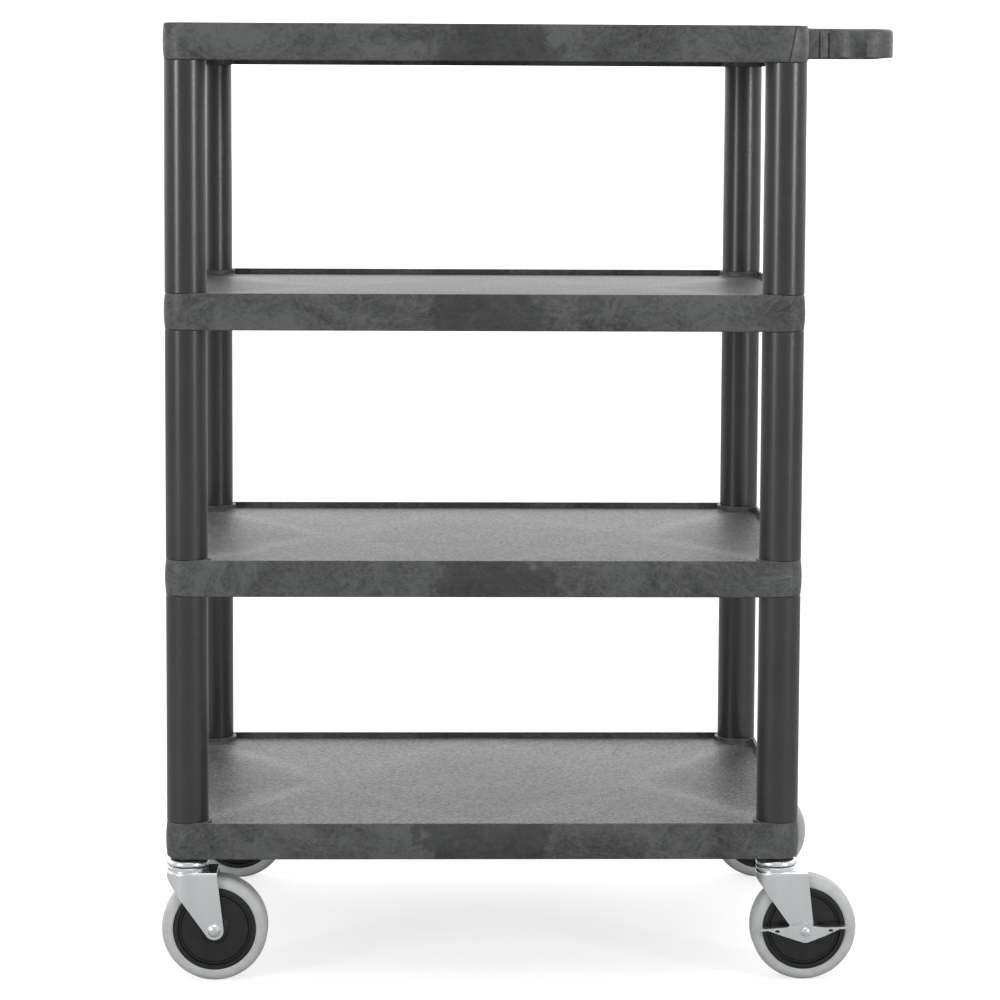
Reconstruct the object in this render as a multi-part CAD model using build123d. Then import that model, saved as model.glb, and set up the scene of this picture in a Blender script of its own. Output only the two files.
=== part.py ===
from build123d import *
import os

# Four-level food service trolley, in millimetres.
# +Z is up, +X points to the push-handle end, -Y is the side that faces the user.
# The origin is on the floor, under the middle of the whole trolley's length and depth.

# ------------------------------------------------------------------ driving dimensions
shelf_length = 610.0          # along X, without the handle
shelf_depth = 457.0           # along Y
shelf_height = 35.0           # rim, from bottom edge to top edge
shelf_pitch = 254.0           # from one shelf's underside to the next
shelf_crown = 1.2             # how far the sides bulge at half height
corner_radius = 21.0
lip_height = 6.0              # retaining lip above the deck
lip_width = 5.0
skirt_wall = 4.5
deck_thickness = 4.5

leg_diameter = 40.0
leg_wall = 2.7
spigot_length = 22.0
spigot_gap = 0.1

handle_reach = 100.0          # beyond the shelf's end
handle_height = 28.0          # at the grip
grip_width = 30.0             # along X
handle_half_width = 96.0      # along Y, to the outside of the loop

wheel_diameter = 101.6
tyre_width = 30.0
core_diameter = 80.0
caster_trail = 26.0           # from the swivel axis to the axle
caster_height = 120.0         # from the floor to the bottom shelf's underside
sheet = 2.5                   # fork steel
fork_half_width = 20.3        # outside of the arms

running_gap = 0.05            # radial, shaft in its hole
side_gap = 0.5                # between a turning face and its neighbour

# ------------------------------------------------------------------ derived places
half_length = shelf_length / 2
half_depth = shelf_depth / 2
wheel_radius = wheel_diameter / 2
leg_radius = leg_diameter / 2
leg_x = half_length - corner_radius
leg_y = half_depth - corner_radius
wheel_end_x = -leg_x + caster_trail - wheel_radius
handle_end_x = half_length + handle_reach
shelf_centre_x = -(wheel_end_x + handle_end_x) / 2
deck_z = shelf_height - lip_height
under_deck_z = deck_z - deck_thickness
boss_radius = corner_radius + 2.0
leg_points = [(sx * leg_x, sy * leg_y) for sx in (-1, 1) for sy in (-1, 1)]

os.makedirs("parts", exist_ok=True)


def save(part, name):
    """Write one sub-part to its own file."""
    export_step(part, f"parts/{name}.step")


def shelf_underside(level):
    """Height of a shelf's bottom edge; level 0 is the bottom shelf."""
    return caster_height + level * shelf_pitch


# ------------------------------------------------------------------ shelves
edge_round = 1.5
pocket_fillet = 2.0
boss_blend = 3.0
rib_thickness = 2.5
rib_depth = 16.0
rib_spacing = 80.0
ribs_each_side_x = 3
ribs_each_side_y = 2


def side_face(reach, plane):
    """Half of an upright section, crowned on its outer side, from the middle out to reach."""
    edge = reach - shelf_crown
    outline = Line((0, 0), (edge, 0))
    outline += ThreePointArc((edge, 0), (reach, shelf_height / 2), (edge, shelf_height))
    outline += Line((edge, shelf_height), (0, shelf_height))
    outline += Line((0, shelf_height), (0, 0))
    face = make_face(outline)
    face = fillet(face.vertices().group_by(Axis.X)[-1], edge_round)
    return plane * face


def shelf_blank():
    """Solid block with crowned sides and round corners, bottom edge at z = 0."""
    run_x = 2 * leg_x
    run_y = 2 * leg_y
    facing_x = side_face(half_length, Plane(origin=(0, leg_y, 0), x_dir=(1, 0, 0), z_dir=(0, -1, 0)))
    facing_y = side_face(half_depth, Plane(origin=(-leg_x, 0, 0), x_dir=(0, 1, 0), z_dir=(1, 0, 0)))
    across = extrude(facing_x, run_y)
    along = extrude(facing_y, run_x)
    corner = revolve(side_face(corner_radius, Plane.XZ), Axis.Z)
    block = across + across.mirror(Plane.YZ) + along + along.mirror(Plane.XZ)
    for x, y in leg_points:
        block += Pos(x, y) * corner
    return block


def pocket(wall, height, with_bosses, blend):
    """Tool for a recess inside a wall, which leaves the round corner bosses standing."""
    plan = RectangleRounded(shelf_length - 2 * wall, shelf_depth - 2 * wall, corner_radius - wall)
    if with_bosses:
        before = plan.vertices()
        for x, y in leg_points:
            plan -= Pos(x, y) * Circle(boss_radius)
        plan = fillet(plan.vertices() - before, boss_blend)
    tool = extrude(plan, height)
    if blend:
        tool = fillet(tool.edges().group_by(Axis.Z)[0], blend)
    return tool


def under_ribs():
    """Grid of stiffening ribs that hangs from the deck."""
    z = under_deck_z - rib_depth / 2 + 0.5
    grid = Part()
    for i in range(-ribs_each_side_x, ribs_each_side_x + 1):
        grid += Pos(i * rib_spacing, 0, z) * Box(rib_thickness, shelf_depth - skirt_wall, rib_depth + 1)
    for i in range(-ribs_each_side_y, ribs_each_side_y + 1):
        grid += Pos(0, i * rib_spacing, z) * Box(shelf_length - skirt_wall, rib_thickness, rib_depth + 1)
    return grid


def spigot(direction):
    """Round stub that a leg tube slides over; direction is 1 for up, -1 for down."""
    radius = leg_radius - leg_wall - spigot_gap
    stub = Cylinder(radius, spigot_length + 2, align=(Align.CENTER, Align.CENTER, Align.MIN))
    stub = chamfer(stub.edges().group_by(Axis.Z)[-1], 2)
    if direction > 0:
        return Pos(0, 0, shelf_height - 2) * stub
    return Pos(0, 0, 2) * Rot(180, 0, 0) * stub


# push handle, moulded in one with the top shelf
handle_embed = 3.0
handle_wall = 4.0
ridge_x = 43.0                # where the root's gusset ends
grip_start_x = handle_reach - grip_width
loop_corner = 28.0
hand_hole_half = 62.0
root_half_width = 130.0


def root_flare():
    """Hollow curve that widens the +Y arm where it leaves the shelf."""
    return ThreePointArc((-handle_embed, root_half_width), (12, 108), (ridge_x, handle_half_width))


def handle_side():
    """Outer edge of the loop's +Y half, from the shelf's end to the middle of the grip."""
    flare = root_flare()
    grip_corner = (grip_start_x, handle_half_width)
    waist_middle = ((ridge_x + grip_start_x) / 2, handle_half_width - 5)
    waist = ThreePointArc(flare @ 1, waist_middle, grip_corner)
    corner_end = (handle_reach, handle_half_width - loop_corner)
    end = RadiusArc(grip_corner, corner_end, loop_corner + 2)
    front = Line(corner_end, (handle_reach, 0))
    return flare + waist + end + front


def push_handle():
    """Loop handle on the shelf's +X end: open underneath, with cross ribs."""
    half = handle_side()
    closing = Line((handle_reach, 0), (-handle_embed, 0)) + Line((-handle_embed, 0), half @ 0)
    plan_half = make_face(half + closing)
    plan = plan_half + mirror(plan_half, Plane.XZ)
    hole = Pos(grip_start_x / 2 - 10, 0) * RectangleRounded(grip_start_x + 20, 2 * hand_hole_half, 16)
    loop_plan = plan - hole
    body = extrude(loop_plan, shelf_height)
    top_edges = body.edges().group_by(Axis.Z)[-1].filter_by_position(Axis.X, 1, handle_reach + 1)
    body = fillet(top_edges, 4)
    rise = shelf_height - handle_height
    beyond = handle_reach + 5
    body -= Pos(beyond / 2, 0, 0) * Box(beyond, 2 * root_half_width + 20, 2 * rise)
    channel = offset(loop_plan, amount=-handle_wall)
    cells = extrude(Pos(0, 0, -1) * channel, shelf_height - handle_wall + 1)
    for i in range(-6, 7):
        cells -= Pos(handle_reach / 2, i * 18, 0) * Box(2 * handle_reach, rib_thickness, 100)
    for x in (18, 36, 54):
        cells -= Pos(x, 0, 0) * Box(rib_thickness, 4 * handle_half_width, 100)
    body -= cells
    return Pos(half_length, 0, 0) * body


def gusset_ribs():
    """Half-round upright ribs on the root of each handle arm."""
    ribs = Part()
    flare = root_flare()
    for along in (0.68, 0.85):
        spot = flare @ along
        for side in (-1, 1):
            place = Pos(half_length + spot.X, side * spot.Y, shelf_height / 2 + 1)
            ribs += place * Cylinder(1.8, shelf_height - 10)
    return ribs


def shelf(up, down):
    """One shelf moulding; up and down say which way its leg spigots point."""
    body = shelf_blank()
    body -= Pos(0, 0, deck_z) * pocket(lip_width, lip_height + 1, up, pocket_fillet)
    body -= Pos(0, 0, -1) * pocket(skirt_wall, under_deck_z + 1, True, 0)
    body += under_ribs()
    for x, y in leg_points:
        if up:
            body += Pos(x, y) * spigot(1)
        if down:
            body += Pos(x, y) * spigot(-1)
    return body


socket_radius = 8.0
socket_depth = 40.0


def place_shelf(body, level):
    return Pos(shelf_centre_x, 0, shelf_underside(level)) * body


bottom = shelf(up=True, down=False)
for x, y in leg_points:
    bottom -= Pos(x, y, socket_depth / 2) * Cylinder(socket_radius, socket_depth)
save(place_shelf(bottom, 0), "bottom_shelf")

middle = shelf(up=True, down=True)
save(place_shelf(middle, 1), "lower_middle_shelf")
save(place_shelf(middle, 2), "upper_middle_shelf")

top = shelf(up=False, down=True) + push_handle() + gusset_ribs()
save(place_shelf(top, 3), "top_shelf")

# ------------------------------------------------------------------ legs
leg_length = shelf_pitch - shelf_height
corner_names = {(-1, -1): "front_left", (1, -1): "front_right", (-1, 1): "rear_left", (1, 1): "rear_right"}
tier_names = ("lower", "middle", "upper")


def leg_tube():
    """Round extruded tube with a slightly broken outer edge at each end."""
    ring = Circle(leg_radius) - Circle(leg_radius - leg_wall)
    tube = extrude(ring, leg_length)
    outer_edges = tube.edges().filter_by(GeomType.CIRCLE).group_by(SortBy.RADIUS)[-1]
    return chamfer(outer_edges, 0.4)


for (sx, sy), corner in corner_names.items():
    for level, tier in enumerate(tier_names):
        base = shelf_underside(level) + shelf_height
        place = Pos(shelf_centre_x + sx * leg_x, sy * leg_y, base)
        save(place * leg_tube(), f"{corner}_{tier}_leg")

# ------------------------------------------------------------------ casters
# Each caster is made about its own swivel axis: local x is the way it trails,
# local -y is the outer side of the trolley, z is the height above the floor.
crown_top = 107.3
crown_under = crown_top - sheet
ring_top = 111.0
race_bottom = 112.6
race_top = 118.0
race_ceiling = 116.1
ball_radius = 2.4
ball_circle = 14.2
ball_count = 14
ball_z = 113.1
king_pin_radius = 5.0
stem_radius = 5.5
axle_radius = 4.0
sleeve_radius = 6.0
hub_half = 17.3


def turned_upright(points):
    """Solid of revolution about Z from (radius, height) points."""
    face = Plane.XZ * make_face(Polyline(*points, close=True))
    return revolve(face, Axis.Z)


def turned_across(points):
    """Solid of revolution about the axle from (radius, distance across) points."""
    face = make_face(Polyline(*points, close=True))
    return Pos(caster_trail, 0, wheel_radius) * revolve(face, Axis.Y)


def across_cylinder(radius, low_y, high_y):
    """Cylinder on the axle line between two distances across."""
    rod = Cylinder(radius, high_y - low_y, rotation=(90, 0, 0))
    return Pos(caster_trail, (low_y + high_y) / 2, wheel_radius) * rod


def ball_track():
    """Ring-shaped tool for the groove that the balls run in."""
    return Pos(0, 0, ball_z) * Torus(ball_circle, ball_radius + 0.1)


def socket_sleeve():
    """Flanged plastic sleeve that grips the stem inside the shelf's boss."""
    bore = stem_radius + running_gap
    body = turned_upright([
        (bore, caster_height - 2),
        (12, caster_height - 2),
        (12, caster_height),
        (socket_radius, caster_height),
        (socket_radius, caster_height + socket_depth - 2),
        (bore, caster_height + socket_depth - 2),
    ])
    return body


def stem():
    """Steel stem above, king pin below, in one turned and riveted piece."""
    head_low = crown_under - 4.5
    head_high = crown_under - side_gap
    top = caster_height + socket_depth - 5
    body = turned_upright([
        (0, head_low),
        (5.5, head_low),
        (8, head_low + 2),
        (8, head_high),
        (king_pin_radius, head_high),
        (king_pin_radius, race_top),
        (stem_radius, race_top),
        (stem_radius, top - 1.5),
        (stem_radius - 1.5, top),
        (0, top),
    ])
    return body


def top_race():
    """Pressed steel cup that turns over the balls; it is held fast by the stem."""
    bore = king_pin_radius
    section = Line((bore, race_top), (15.5, race_top))
    section += RadiusArc((15.5, race_top), (20, race_top - 4.2), 4.6)
    section += Line((20, race_top - 4.2), (20, race_bottom))
    section += Line((20, race_bottom), (18, race_bottom))
    section += Line((18, race_bottom), (18, race_ceiling - 1.5))
    section += Line((18, race_ceiling - 1.5), (16.5, race_ceiling))
    section += Line((16.5, race_ceiling), (bore, race_ceiling))
    section += Line((bore, race_ceiling), (bore, race_top))
    cup = revolve(Plane.XZ * make_face(section), Axis.Z)
    land = race_ceiling - 2.3
    cup += turned_upright([(9, land), (12.6, land), (12.6, race_ceiling + 0.5), (9, race_ceiling + 0.5)])
    return cup - ball_track()


def balls():
    """The ring of steel balls between the top race and the fork's crown."""
    ring = [loc * Sphere(ball_radius) for loc in PolarLocations(ball_circle, ball_count)]
    return Pos(0, 0, ball_z) * Compound(children=ring)


def fork_outline():
    """Side view of the fork: wide crown above, rounded axle tab below."""
    tab = 9.0
    axle = Vector(caster_trail, wheel_radius)
    back_top = (28.0, crown_top + 5)
    front_top = (-25.0, crown_top + 5)
    front_knee = (-21.2, 101.0)
    outline = Polyline(
        (axle.X + tab, axle.Y + 1),
        back_top,
        front_top,
        front_knee,
        (axle.X - tab * 0.86, axle.Y - tab * 0.5),
    )
    end = ThreePointArc(
        (axle.X - tab * 0.86, axle.Y - tab * 0.5),
        (axle.X + tab * 0.1, axle.Y - tab),
        (axle.X + tab, axle.Y + 1),
    )
    return make_face(outline + end)


def fork_plan(half_width, reach):
    """Plan of the fork: round in front of the swivel axis, straight arms behind it."""
    arms = Pos(reach / 2, 0) * Rectangle(reach, 2 * half_width)
    return Circle(half_width) + arms


def fork():
    """Pressed steel yoke with its raised race ring, king pin hole and axle holes."""
    foot = wheel_radius - 12
    shell = extrude(Pos(0, 0, foot) * fork_plan(fork_half_width, 45), crown_top - foot)
    shell = fillet(shell.edges().group_by(Axis.Z)[-1], 3.5)
    inner = extrude(Pos(0, 0, foot - 1) * fork_plan(fork_half_width - sheet, 50), crown_under - foot + 1)
    shell -= inner
    slab = extrude(Plane.XZ * fork_outline(), 2 * fork_half_width, both=True)
    shell = shell & slab
    raised = turned_upright([
        (king_pin_radius, crown_top - 1),
        (18.6, crown_top - 1),
        (19.8, crown_top),
        (19.8, ring_top - 1),
        (18.8, ring_top),
        (king_pin_radius, ring_top),
    ])
    shell += raised
    shell -= ball_track()
    shell -= Pos(0, 0, crown_top) * Cylinder(king_pin_radius + running_gap, 30)
    return shell - across_cylinder(axle_radius + running_gap, -30, 30)


def wheel_core():
    """Black plastic centre: hub, web with a stepped face, and a keyed rim."""
    half = [
        (sleeve_radius + running_gap, hub_half),
        (11.5, hub_half),
        (12.5, hub_half - 1),
        (12.5, 14.0),
        (14.0, 12.5),
        (32.0, 12.5),
        (33.0, 11.2),
        (34.6, 11.2),
        (35.6, 13.6),
        (core_diameter / 2 - 0.6, 13.6),
        (core_diameter / 2, 13.0),
        (core_diameter / 2, 5.0),
        (core_diameter / 2 + 3.5, 4.0),
    ]
    other = [(r, -y) for r, y in reversed(half)]
    return turned_across(half + other)


def tyre():
    """Grey rubber tyre moulded over the core's keyed rim."""
    inner = core_diameter / 2
    half = tyre_width / 2
    face = Pos((inner + wheel_radius) / 2, 0) * Rectangle(wheel_radius - inner, tyre_width)
    face = fillet(face.vertices().group_by(Axis.X)[-1], 7.5)
    face = chamfer(face.vertices().group_by(Axis.X)[0], 1.2)
    key = make_face(Polyline((inner - 1, 5.4), (inner + 3.5, 4.0), (inner + 3.5, -4.0), (inner - 1, -5.4), close=True))
    key = key & Pos(inner + half / 2, 0) * Rectangle(half, tyre_width)
    return Pos(caster_trail, 0, wheel_radius) * revolve(face - key, Axis.Y)


def axle_sleeve():
    """Steel spanner bush, clamped between the arms, that the wheel turns on."""
    reach = fork_half_width - sheet
    tube = across_cylinder(sleeve_radius, -reach, reach)
    return tube - across_cylinder(axle_radius + running_gap, -reach - 1, reach + 1)


def axle_bolt(head_y, head_radius):
    """Axle bolt with a domed head at the outer side; the nut goes on its other end."""
    head = turned_across([
        (0, -head_y - 0.54 * head_radius),
        (0.41 * head_radius, -head_y - 0.51 * head_radius),
        (0.76 * head_radius, -head_y - 0.37 * head_radius),
        (0.97 * head_radius, -head_y - 0.14 * head_radius),
        (head_radius, -head_y),
        (0, -head_y),
    ])
    return head + across_cylinder(axle_radius, -head_y - 0.5, fork_half_width + 9)


def axle_nut():
    """Hexagon lock nut on the inner side of the fork."""
    body = extrude(RegularPolygon(7.5, 6), 7) - Cylinder(axle_radius, 40)
    body = chamfer(body.edges().group_by(Axis.Z)[-1].filter_by(GeomType.LINE), 0.6)
    return Pos(caster_trail, fork_half_width, wheel_radius) * Rot(-90, 0, 0) * body


# foot brake on the two casters at the handle end
cam_thickness = 5.0
cam_radius = 5.2
plain_head_radius = 6.3
braked_head_radius = 4.6
head_seat_gap = 0.4
pedal_face_y = fork_half_width + cam_thickness + 0.4
pedal_sheet = 2.0
pedal_half_length = 43.0
pedal_flange = 6.6


def pedal_ridge(offset_z):
    """Upper edge of the pedal, from tip to tip over the middle peak."""
    return [
        (-pedal_half_length, 2.4 + offset_z),
        (-20, 4.2 + offset_z),
        (-7.5, 5.9 + offset_z),
        (-1.5, 9.0 + offset_z),
        (5.5, 5.9 + offset_z),
        (18, 4.4 + offset_z),
        (pedal_half_length, 5.0 + offset_z),
    ]


def upright_plate(face, low_y, high_y):
    """Plate cut to a side-view face about the axle, between two distances across."""
    plate = extrude(Plane.XZ * face, high_y - low_y)
    return Pos(caster_trail, high_y, wheel_radius) * plate


def brake_pedal():
    """Pressed bow-tie lever: a face with a slot bead, and a tread flange along its top."""
    outer = -pedal_face_y - pedal_sheet
    low_points = [(33, 2.8), (18, -4.3), (1.5, -10.6), (-1.5, -10.6), (-21, -4.3), (-36, 1.0)]
    face = make_face(Polyline(*pedal_ridge(0), *low_points, close=True))
    plate = upright_plate(face, outer, -pedal_face_y)
    ridge_low = list(reversed(pedal_ridge(-pedal_sheet)))
    band = make_face(Polyline(*pedal_ridge(0), *ridge_low, close=True))
    body = plate + upright_plate(band, outer, -pedal_face_y + pedal_flange - 1.6)
    bead = upright_plate(SlotOverall(31, 7.4), outer - 0.8, outer + 0.5)
    dish = upright_plate(SlotOverall(28.4, 4.8), outer - 2, outer + 0.3)
    seat = across_cylinder(braked_head_radius + head_seat_gap, outer - 5, outer)
    body = body + bead - dish - seat
    for x, z in ((-27, 0.5), (24.5, 1.5)):
        body -= upright_plate(Pos(x, z) * SlotOverall(4.4, 2.4), outer - 2, -pedal_face_y + 1)
    return body - across_cylinder(axle_radius + running_gap, outer - 5, 0)


def brake_cam():
    """Cam bush between pedal and fork, which squeezes the fork onto the hub when it turns."""
    bush = across_cylinder(cam_radius, -fork_half_width - cam_thickness, -fork_half_width)
    return bush - across_cylinder(axle_radius, -40, 0)


sockets = []
for (sx, sy), corner in corner_names.items():
    side = 1 if sy < 0 else -1
    place = Pos(shelf_centre_x + sx * leg_x, sy * leg_y, 0)
    braked = sx > 0
    head_y = pedal_face_y + pedal_sheet + 0.3 if braked else fork_half_width
    head_radius = braked_head_radius if braked else plain_head_radius
    pieces = {
        "stem": stem(),
        "top_race": top_race(),
        "swivel_balls": balls(),
        "fork": fork(),
        "wheel_core": wheel_core(),
        "tyre": tyre(),
        "axle_sleeve": axle_sleeve(),
        "axle_bolt": axle_bolt(head_y, head_radius),
        "axle_nut": axle_nut(),
    }
    if braked:
        pieces["brake_pedal"] = brake_pedal()
        pieces["brake_cam"] = brake_cam()
    for name, piece in pieces.items():
        turned = piece if side > 0 else mirror(piece, Plane.XZ)
        save(place * turned, f"{corner}_{name}")
    sockets.append(place * socket_sleeve())
save(Compound(children=sockets), "caster_sockets")
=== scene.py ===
import math

import bmesh
import bpy
from mathutils import Euler, Matrix, Vector


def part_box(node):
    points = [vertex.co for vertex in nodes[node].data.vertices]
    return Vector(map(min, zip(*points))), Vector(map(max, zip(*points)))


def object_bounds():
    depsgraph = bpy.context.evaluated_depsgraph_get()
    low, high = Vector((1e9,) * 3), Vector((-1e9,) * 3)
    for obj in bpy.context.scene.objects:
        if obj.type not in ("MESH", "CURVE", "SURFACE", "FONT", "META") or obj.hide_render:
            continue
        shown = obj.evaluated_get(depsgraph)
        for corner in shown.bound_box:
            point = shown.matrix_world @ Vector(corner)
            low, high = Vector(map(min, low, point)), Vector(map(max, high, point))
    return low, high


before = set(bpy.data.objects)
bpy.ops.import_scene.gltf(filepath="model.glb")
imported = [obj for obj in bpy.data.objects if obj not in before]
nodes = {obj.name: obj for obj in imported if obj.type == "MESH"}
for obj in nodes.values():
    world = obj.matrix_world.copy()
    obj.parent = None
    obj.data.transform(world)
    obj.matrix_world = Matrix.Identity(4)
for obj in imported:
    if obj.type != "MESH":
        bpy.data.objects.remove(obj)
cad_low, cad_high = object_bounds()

# ---------------------------------------------------------------- Studio
# A white room: a pale floor, white air all round that is brighter behind the trolley, two tall
# soft boxes left and right of the camera, which lay upright streaks of light on the legs, and a
# wide one overhead.
scene = bpy.context.scene
scene.view_settings.view_transform = "Standard"

camera_place = (-0.1085, -3.3025, 0.8489)
looks_down = 5.312            # degrees below level
looks_right = 1.386           # degrees from square on
leans = 0.274                 # degrees about its own axis
camera_data = bpy.data.cameras.new("long_lens")
camera_data.sensor_width = 36.0
camera_data.lens = 117.45
camera_data.shift_y = -0.10
camera_data.clip_end = 50.0
camera = bpy.data.objects.new("camera", camera_data)
aim = Euler((math.radians(90 - looks_down), 0, math.radians(-looks_right)), "XYZ").to_matrix().to_4x4()
lean = Matrix.Rotation(math.radians(leans), 4, "Z")
camera.matrix_world = Matrix.Translation(camera_place) @ aim @ lean
scene.collection.objects.link(camera)
scene.camera = camera


def linear(hex_colour):
    """Linear colour with alpha, from an sRGB hex value."""
    parts = [int(hex_colour[i:i + 2], 16) / 255 for i in (1, 3, 5)]
    return [p / 12.92 if p <= 0.04045 else ((p + 0.055) / 1.055) ** 2.4 for p in parts] + [1.0]


def add(tree, kind, inputs=None, **settings):
    """Adds a node; inputs are numbers, colours or other nodes' outputs, by name or by place."""
    made = tree.nodes.new(kind)
    for name, value in settings.items():
        setattr(made, name, value)
    for name, value in (inputs or {}).items():
        if isinstance(value, bpy.types.NodeSocket):
            tree.links.new(value, made.inputs[name])
        else:
            made.inputs[name].default_value = value
    return made


def maths(tree, operation, *values):
    """Output of one math node."""
    return add(tree, "ShaderNodeMath", dict(enumerate(values)), operation=operation).outputs[0]


def eased(tree, value, low, high):
    """Smooth step from 0 at low to 1 at high."""
    return add(tree, "ShaderNodeMapRange", {"Value": value, "From Min": low, "From Max": high},
               interpolation_type="SMOOTHSTEP").outputs["Result"]


room_light_front = 0.62
room_light_behind = 1.85
world = bpy.data.worlds.new("white_room")
world.use_nodes = True
room = world.node_tree
heading = add(room, "ShaderNodeTexCoord").outputs["Generated"]
toward_back = add(room, "ShaderNodeSeparateXYZ", {0: heading}).outputs["Y"]
brightness = add(room, "ShaderNodeMapRange",
                 {"Value": toward_back, "From Min": -0.3, "From Max": 0.9,
                  "To Min": room_light_front, "To Max": room_light_behind}).outputs["Result"]
straight = add(room, "ShaderNodeLightPath").outputs["Is Camera Ray"]
brightness = maths(room, "MAXIMUM", brightness, straight)
background = room.nodes["Background"]
background.inputs["Color"].default_value = linear("#ffffff")
room.links.new(brightness, background.inputs["Strength"])
scene.world = world


def soft_box(name, place, target, width, height, watts):
    """Rectangular area light that faces a target point."""
    light = bpy.data.lights.new(name, "AREA")
    light.shape = "RECTANGLE"
    light.size = width
    light.size_y = height
    light.energy = watts
    holder = bpy.data.objects.new(name, light)
    holder.location = place
    holder.rotation_euler = (Vector(target) - Vector(place)).to_track_quat("-Z", "Y").to_euler()
    scene.collection.objects.link(holder)


tall_box_out = 2.6
tall_box_front = -2.5
tall_box_middle = 1.30
for side, name in ((-1, "soft_box_left"), (1, "soft_box_right")):
    place = (side * tall_box_out, tall_box_front, tall_box_middle)
    soft_box(name, place, (0, 0, 0.8), width=0.34, height=1.4, watts=36.0)
soft_box("soft_box_above", (0, -0.6, 3.2), (0, 0, 0.4), width=2.0, height=2.0, watts=18.0)

floor_reach = 40.0            # metres each way, so that no edge shows
floor_glow = 0.70
floor_mesh = bpy.data.meshes.new("floor")
floor_form = bmesh.new()
bmesh.ops.create_grid(floor_form, x_segments=1, y_segments=1, size=floor_reach)
floor_form.to_mesh(floor_mesh)
floor_form.free()
floor = bpy.data.objects.new("floor", floor_mesh)
floor.location.z = cad_low.z
scene.collection.objects.link(floor)

# the floor glows a little where it is looked at, as a translucent table lit from below does,
# but throws only dim light back up at the shelves
floor_acrylic = bpy.data.materials.new("floor_white_acrylic_matt")
floor_acrylic.use_nodes = True
floor_tree = floor_acrylic.node_tree
floor_shader = floor_tree.nodes["Principled BSDF"]
floor_shader.inputs["Base Color"].default_value = linear("#b4b4b4")
floor_shader.inputs["Roughness"].default_value = 0.9
floor_shader.inputs["Emission Color"].default_value = linear("#ffffff")
looked_at = add(floor_tree, "ShaderNodeLightPath").outputs["Is Camera Ray"]
glow = maths(floor_tree, "MULTIPLY", looked_at, floor_glow)
floor_tree.links.new(glow, floor_shader.inputs["Emission Strength"])
floor_mesh.materials.append(floor_acrylic)

# ---------------------------------------------------------------- Shelves
# Four flat trays, each moulded in one shot of structural foam polyethylene. The foaming leaves
# grey swirls on the sides, and a pebbled mould face leaves a fine grain on the decks.
shelf_nodes = ["bottom_shelf", "lower_middle_shelf", "upper_middle_shelf", "top_shelf"]
bottom_low, bottom_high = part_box("bottom_shelf")
shelf_middle_x = (bottom_low.x + bottom_high.x) / 2
shelf_half_x = (bottom_high.x - bottom_low.x) / 2
shelf_half_y = (bottom_high.y - bottom_low.y) / 2
top_low_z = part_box("front_left_upper_leg")[1].z   # the top shelf rests on the upper legs

# the foam's pattern on the sides; sizes are metres from one lump to the next
swirl_size = 0.060            # grey clouds
smear_size = 0.009            # finer smears inside the clouds
fleck_size = 0.0028           # dark flecks where bubbles met the mould, drawn coarser than real
crease_size = 0.042           # bright wisps
drag_size = 0.10              # slow bends that the flowing plastic puts in all of these
drag_reach = 0.07             # how far the bends carry them
flow_stretch = (0.7, 0.7, 1.25)   # swirls lie along a side more than up it
gate_patch = 0.045            # half width of the smooth dark patch in the middle of a long side
patch_fade = 0.014            # width of that patch's soft edge
patch_wobble = 0.12           # how ragged its outline is
usual_tone = 0.88             # tone about which the swirls vary
base_tone = 0.05              # tone before the parts below are added to it
cloud_part = 0.72
smear_part = 0.60
fleck_part = 0.34
wisp_part = 0.07

# flow marks and grain on the decks
gate_x = shelf_half_x / 2     # the plastic enters at a point this far each side of the middle
flow_cloud_size = 0.11        # broad clouds
flow_wander_size = 0.07       # how often a flow line wanders
flow_wander = 0.035           # how far it wanders
flow_line_width = 0.020       # from its middle to its edge
fan_fade = 0.05               # soft edge of the darker fan beyond each flow line
weld_width = 0.0035           # from the middle of the weld to its edge
deck_fleck_size = 0.0030      # drawn coarser than real, to show
grain_size = 0.0024           # pebble spacing, drawn coarser than real, to show
grain_depth = 0.0005
deck_roughness = 0.46

# joint line of a mould insert
insert_inset = 0.0205         # from the shelf's end
insert_slant = 0.19           # metres along for each metre up
insert_edge = 0.0010          # from its middle to where it has faded out
insert_core = 0.0004          # from its middle to where it starts to fade


def smooth_shaded(piece, angle):
    """Smooth shading that keeps edges sharper than the angle, in degrees."""
    mesh = piece.data
    for face in mesh.polygons:
        face.use_smooth = True
    mesh.set_sharp_from_angle(angle=math.radians(angle))


def finish_piece(name, material, angle=30):
    """Smooths one CAD piece and gives it its material."""
    smooth_shaded(nodes[name], angle)
    nodes[name].data.materials.clear()
    nodes[name].data.materials.append(material)


def blank_material(name):
    """Material with only its shader, ready for its own nodes."""
    material = bpy.data.materials.new(name)
    material.use_nodes = True
    return material, material.node_tree, material.node_tree.nodes["Principled BSDF"]


def two_tone(tree, value, low, low_colour, high, high_colour):
    """Colour that goes from one hex colour to another as a value rises."""
    ramp = add(tree, "ShaderNodeValToRGB", {"Fac": value})
    first, last = ramp.color_ramp.elements
    first.position, first.color = low, linear(low_colour)
    last.position, last.color = high, linear(high_colour)
    return ramp.outputs["Color"]


def noise(tree, place, size, detail=3.0, roughness=0.5, distortion=0.0):
    """Noise whose lumps are about this many metres apart."""
    return add(tree, "ShaderNodeTexNoise",
               {"Vector": place, "Scale": 1 / size, "Detail": detail, "Roughness": roughness,
                "Distortion": distortion}).outputs["Fac"]


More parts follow.
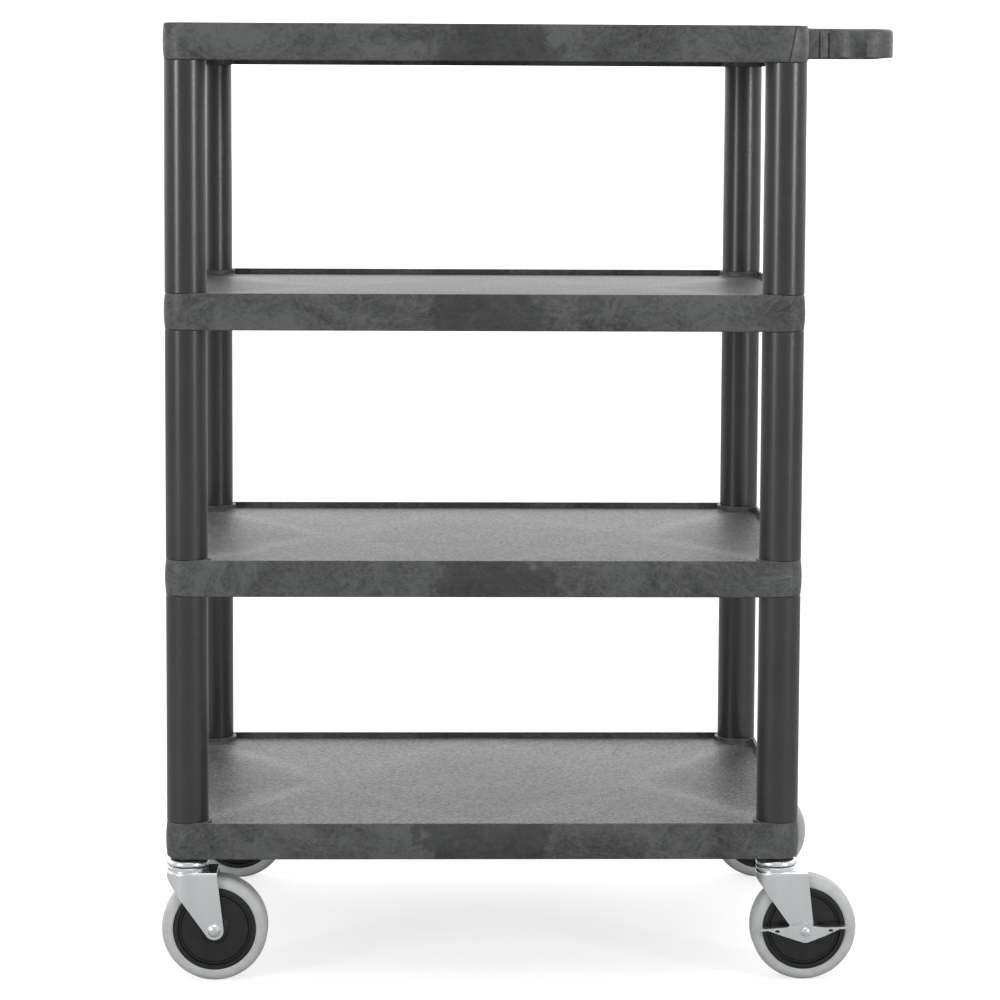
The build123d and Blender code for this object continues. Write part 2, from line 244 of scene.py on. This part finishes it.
def side_swirls(tree, place, from_middle):
    """Brightness of a shelf's side: clouds, smears, bright wisps, flecks and the gate patch."""
    pull = add(tree, "ShaderNodeTexNoise", {"Vector": place, "Scale": 1 / drag_size, "Detail": 2.0})
    offset = add(tree, "ShaderNodeVectorMath", {0: pull.outputs["Color"], 1: (drag_reach,) * 3},
                 operation="MULTIPLY").outputs[0]
    bent = add(tree, "ShaderNodeVectorMath", {0: place, 1: offset}, operation="ADD").outputs[0]
    drawn = add(tree, "ShaderNodeVectorMath", {0: bent, 1: flow_stretch},
                operation="MULTIPLY").outputs[0]
    cloud = noise(tree, drawn, swirl_size, 6.0, 0.6, 0.8)
    smear = noise(tree, drawn, smear_size, 6.0, 0.75, 1.8)
    fleck = noise(tree, place, fleck_size, 3.0, 0.7)
    swirl = maths(tree, "MULTIPLY_ADD", cloud, cloud_part, base_tone)
    swirl = maths(tree, "MULTIPLY_ADD", smear, smear_part, swirl)
    swirl = maths(tree, "MULTIPLY_ADD", fleck, fleck_part, swirl)
    crease = noise(tree, bent, crease_size, 1.0, 0.4, 1.0)
    crease = maths(tree, "ABSOLUTE", maths(tree, "SUBTRACT", crease, 0.5))
    wisp = eased(tree, crease, 0.05, 0.0)
    swirl = maths(tree, "MULTIPLY_ADD", wisp, wisp_part, swirl)
    wobble = maths(tree, "SUBTRACT", noise(tree, place, 0.03, 4.0, 0.6), 0.5)
    reach = maths(tree, "MULTIPLY_ADD", wobble, patch_wobble, maths(tree, "ABSOLUTE", from_middle))
    patch = eased(tree, reach, gate_patch + patch_fade, gate_patch)
    calm = maths(tree, "MULTIPLY_ADD", patch, -0.55, 1.0)
    varies = maths(tree, "SUBTRACT", swirl, usual_tone)
    swirl = maths(tree, "MULTIPLY_ADD", varies, calm, usual_tone)
    return maths(tree, "MULTIPLY_ADD", patch, -0.12, swirl)


def deck_flow(tree, place, from_middle, split):
    """Brightness of a deck: flow lines from each gate to its two corners, and a weld between."""
    across = maths(tree, "ABSOLUTE", split.outputs["Y"])
    past_gate = maths(tree, "SUBTRACT", maths(tree, "ABSOLUTE", from_middle), gate_x)
    wander = maths(tree, "SUBTRACT", noise(tree, place, flow_wander_size, 3.0), 0.5)
    broad = noise(tree, place, flow_cloud_size, 4.0, 0.6)
    fleck = maths(tree, "SUBTRACT", noise(tree, place, deck_fleck_size, 2.0, 0.6), 0.5)
    tone = maths(tree, "MULTIPLY_ADD", broad, 0.30, 0.30)
    tone = maths(tree, "MULTIPLY_ADD", fleck, 0.95, tone)
    outward = (1, shelf_half_x - gate_x, 0.15, -0.24)
    inward = (-1, gate_x, 0.07, -0.03)
    for direction, near_end, line_tone, fan_tone in (outward, inward):
        slant = math.atan2(shelf_half_y, near_end)
        ahead = maths(tree, "MULTIPLY", past_gate, direction)
        rise = maths(tree, "MULTIPLY", ahead, math.sin(slant))
        beside = maths(tree, "MULTIPLY_ADD", across, -math.cos(slant), rise)
        beside = maths(tree, "MULTIPLY_ADD", wander, flow_wander, beside)
        started = eased(tree, ahead, -0.01, 0.05)
        line = eased(tree, maths(tree, "ABSOLUTE", beside), flow_line_width, 0.0)
        line = maths(tree, "MULTIPLY", line, started)
        fan = maths(tree, "MULTIPLY", eased(tree, beside, -0.002, fan_fade), started)
        tone = maths(tree, "MULTIPLY_ADD", line, line_tone, tone)
        tone = maths(tree, "MULTIPLY_ADD", fan, fan_tone, tone)
    weld = eased(tree, across, weld_width, 0.0)
    weld = maths(tree, "MULTIPLY", weld, eased(tree, past_gate, 0.0, 0.03))
    return maths(tree, "MULTIPLY_ADD", weld, -0.18, tone), fleck


def insert_line(tree, split):
    """Slanting joint line that a mould insert leaves beside the top shelf's handle-end corners."""
    above = maths(tree, "SUBTRACT", split.outputs["Z"], top_low_z)
    slanted = maths(tree, "MULTIPLY_ADD", above, insert_slant, bottom_high.x - insert_inset)
    beside = maths(tree, "ABSOLUTE", maths(tree, "SUBTRACT", split.outputs["X"], slanted))
    line = eased(tree, beside, insert_edge, insert_core)
    line = maths(tree, "MULTIPLY", line, maths(tree, "GREATER_THAN", above, 0.0))
    across = maths(tree, "ABSOLUTE", split.outputs["Y"])
    on_side = maths(tree, "GREATER_THAN", across, shelf_half_y * 0.95)
    return maths(tree, "MULTIPLY", line, on_side)


def structural_foam(name):
    """Foamed polyethylene straight from the mould: swirled sides and pebbled decks."""
    # a surface that faces up is deck; its grey is lighter than the sides' grey, partly the pebbled
    # face's own paler grey and partly painted sheen; the lighter flecks on it also shine more
    material, tree, shader = blank_material(name)
    place = add(tree, "ShaderNodeTexCoord").outputs["Object"]
    facing = add(tree, "ShaderNodeNewGeometry").outputs["Normal"]
    up = add(tree, "ShaderNodeSeparateXYZ", {0: facing}).outputs["Z"]
    deck = eased(tree, up, 0.8, 0.97)
    split = add(tree, "ShaderNodeSeparateXYZ", {0: place})
    from_middle = maths(tree, "SUBTRACT", split.outputs["X"], shelf_middle_x)

    swirl = side_swirls(tree, place, from_middle)
    swirl = maths(tree, "MULTIPLY_ADD", insert_line(tree, split), -0.45, swirl)
    side_tone = two_tone(tree, swirl, 0.66, "#1b1c1d", 1.12, "#555657")
    flow, fleck = deck_flow(tree, place, from_middle, split)
    # the deck's lighter grey is partly painted sheen, which stands in for the white room's grazing
    # reflection on the pebbled deck
    deck_grey_with_painted_sheen = two_tone(tree, flow, 0.15, "#2f3031", 0.85, "#8e8f90")
    colour = add(tree, "ShaderNodeMix", {0: deck, 6: side_tone, 7: deck_grey_with_painted_sheen},
                 data_type="RGBA").outputs[2]
    tree.links.new(colour, shader.inputs["Base Color"])

    side_roughness = add(tree, "ShaderNodeMapRange",
                         {"Value": swirl, "From Min": 0.68, "From Max": 1.1,
                          "To Min": 0.52, "To Max": 0.34}).outputs["Result"]
    roughness = add(tree, "ShaderNodeMix", {0: deck, 2: side_roughness, 3: deck_roughness},
                    data_type="FLOAT").outputs[0]
    tree.links.new(roughness, shader.inputs["Roughness"])
    shader.inputs["IOR"].default_value = 1.51
    glint = add(tree, "ShaderNodeMapRange",
                {"Value": fleck, "From Min": -0.2, "From Max": 0.2, "To Min": 0.15, "To Max": 0.85})
    mirror_share = add(tree, "ShaderNodeMix", {0: deck, 2: 0.5, 3: glint.outputs["Result"]},
                       data_type="FLOAT").outputs[0]
    tree.links.new(mirror_share, shader.inputs["Specular IOR Level"])

    pebbles = add(tree, "ShaderNodeTexVoronoi",
                  {"Vector": place, "Scale": 1 / grain_size, "Smoothness": 0.6}, feature="SMOOTH_F1")
    side_relief = add(tree, "ShaderNodeBump", {"Height": swirl, "Strength": 0.5, "Distance": 0.0012})
    deck_relief = add(tree, "ShaderNodeBump",
                      {"Height": pebbles.outputs["Distance"], "Strength": 0.7, "Distance": grain_depth},
                      invert=True)
    relief = add(tree, "ShaderNodeMix",
                 {0: deck, 4: side_relief.outputs["Normal"], 5: deck_relief.outputs["Normal"]},
                 data_type="VECTOR").outputs[1]
    tree.links.new(relief, shader.inputs["Normal"])
    return material


foam = structural_foam("structural_foam_polyethylene_moulded")
for name in shelf_nodes:
    finish_piece(name, foam)

# ---------------------------------------------------------------- Legs
# Twelve lengths of round polyethylene tube, extruded, so their skin is smooth and half glossy
# with faint lines along it from the die. Each is pushed over the stubs of two shelves.
die_line_width = 0.0016       # wider than real, so that the lines show
die_line_drag = 0.006         # how much slower the pattern changes up the tube than round it
scuff_size = 0.04


def extruded_tube(name):
    """Extruded polyethylene: even charcoal, satin, with die lines that run up the tube."""
    material, tree, shader = blank_material(name)
    place = add(tree, "ShaderNodeTexCoord").outputs["Object"]
    drawn = add(tree, "ShaderNodeVectorMath", {0: place, 1: (1.0, 1.0, die_line_drag)},
                operation="MULTIPLY")
    lines = noise(tree, drawn.outputs[0], die_line_width, 3.0)
    scuffs = noise(tree, place, scuff_size, 6.0, 0.7)
    charcoal = two_tone(tree, scuffs, 0.35, "#1b1c1d", 0.75, "#262728")
    tree.links.new(charcoal, shader.inputs["Base Color"])
    gloss = add(tree, "ShaderNodeMapRange", {"Value": scuffs, "To Min": 0.27, "To Max": 0.33})
    tree.links.new(gloss.outputs["Result"], shader.inputs["Roughness"])
    relief = add(tree, "ShaderNodeBump", {"Height": lines, "Strength": 0.012, "Distance": 0.0002})
    tree.links.new(relief.outputs["Normal"], shader.inputs["Normal"])
    shader.inputs["IOR"].default_value = 1.51
    shader.inputs["Specular IOR Level"].default_value = 0.7
    return material


tube_skin = extruded_tube("polyethylene_tube_extruded")
for name in [n for n in nodes if n.endswith("_leg")]:
    finish_piece(name, tube_skin)

# ---------------------------------------------------------------- Caster steel
# Stems, races, forks, bolts, nuts and pedals: pressed or turned from mild steel and plated with
# bright zinc, a cool silver that shows soft upright streaks from rolling and pressing.
roll_streak = 0.0009          # wider than real, so that the streaks show
roll_drag = 0.04              # how much slower they change along the rolling than across it
bloom_size = 0.012            # soft clouds in the plating


def bright_zinc(name):
    """Zinc-plated pressed steel: bright, faintly blue, with rolling streaks and a soft bloom."""
    material, tree, shader = blank_material(name)
    place = add(tree, "ShaderNodeTexCoord").outputs["Object"]
    rolled = add(tree, "ShaderNodeVectorMath", {0: place, 1: (1.0, 1.0, roll_drag)},
                 operation="MULTIPLY")
    streaks = noise(tree, rolled.outputs[0], roll_streak, 2.0)
    bloom = noise(tree, rolled.outputs[0], bloom_size, 2.0)
    silver = two_tone(tree, bloom, 0.3, "#e2e6e8", 0.7, "#eceeef")
    tree.links.new(silver, shader.inputs["Base Color"])
    shader.inputs["Metallic"].default_value = 1.0
    haze = add(tree, "ShaderNodeMapRange", {"Value": streaks, "To Min": 0.23, "To Max": 0.29})
    tree.links.new(haze.outputs["Result"], shader.inputs["Roughness"])
    relief = add(tree, "ShaderNodeBump", {"Height": streaks, "Strength": 0.03, "Distance": 0.0002})
    tree.links.new(relief.outputs["Normal"], shader.inputs["Normal"])
    return material


zinc = bright_zinc("mild_steel_bright_zinc_plated")
steel_endings = ("_stem", "_top_race", "_fork", "_axle_bolt", "_axle_nut", "_axle_sleeve",
                 "_swivel_balls", "_brake_pedal")
for name in [n for n in nodes if n.endswith(steel_endings)]:
    finish_piece(name, zinc, 35)

# ---------------------------------------------------------------- Wheels
# Each wheel is a black polypropylene centre with a grey thermoplastic rubber tyre moulded over
# its keyed rim; the rubber leaves no marks on a kitchen floor. The caster sockets pressed into
# the bottom shelf and the brake cams are the same black plastic.
mottle_size = 0.011
dust_size = 0.014


def moulded_black(name):
    """Injection-moulded polypropylene: near black, satin, with faint swirls from the tool."""
    material, tree, shader = blank_material(name)
    place = add(tree, "ShaderNodeTexCoord").outputs["Object"]
    mottle = noise(tree, place, mottle_size, 5.0)
    black = two_tone(tree, mottle, 0.3, "#0f1011", 0.7, "#1b1c1d")
    tree.links.new(black, shader.inputs["Base Color"])
    gloss = add(tree, "ShaderNodeMapRange", {"Value": mottle, "To Min": 0.26, "To Max": 0.40})
    tree.links.new(gloss.outputs["Result"], shader.inputs["Roughness"])
    relief = add(tree, "ShaderNodeBump", {"Height": mottle, "Strength": 0.06, "Distance": 0.0003})
    tree.links.new(relief.outputs["Normal"], shader.inputs["Normal"])
    return material


def grey_rubber(name):
    """Thermoplastic rubber: flat mid grey, soft sheen, a little dust where it rolls."""
    material, tree, shader = blank_material(name)
    place = add(tree, "ShaderNodeTexCoord").outputs["Object"]
    dust = noise(tree, place, dust_size, 6.0, 0.65)
    grey = two_tone(tree, dust, 0.3, "#b0b2b2", 0.75, "#c2c4c4")
    tree.links.new(grey, shader.inputs["Base Color"])
    gloss = add(tree, "ShaderNodeMapRange", {"Value": dust, "To Min": 0.5, "To Max": 0.68})
    tree.links.new(gloss.outputs["Result"], shader.inputs["Roughness"])
    relief = add(tree, "ShaderNodeBump", {"Height": dust, "Strength": 0.1, "Distance": 0.0003})
    tree.links.new(relief.outputs["Normal"], shader.inputs["Normal"])
    return material


core_black = moulded_black("polypropylene_black_moulded")
tyre_grey = grey_rubber("thermoplastic_rubber_grey_moulded")
finishes = {"_wheel_core": core_black, "_brake_cam": core_black, "_sockets": core_black,
            "_tyre": tyre_grey}
for ending, material in finishes.items():
    for name in [n for n in nodes if n.endswith(ending)]:
        finish_piece(name, material, 35)
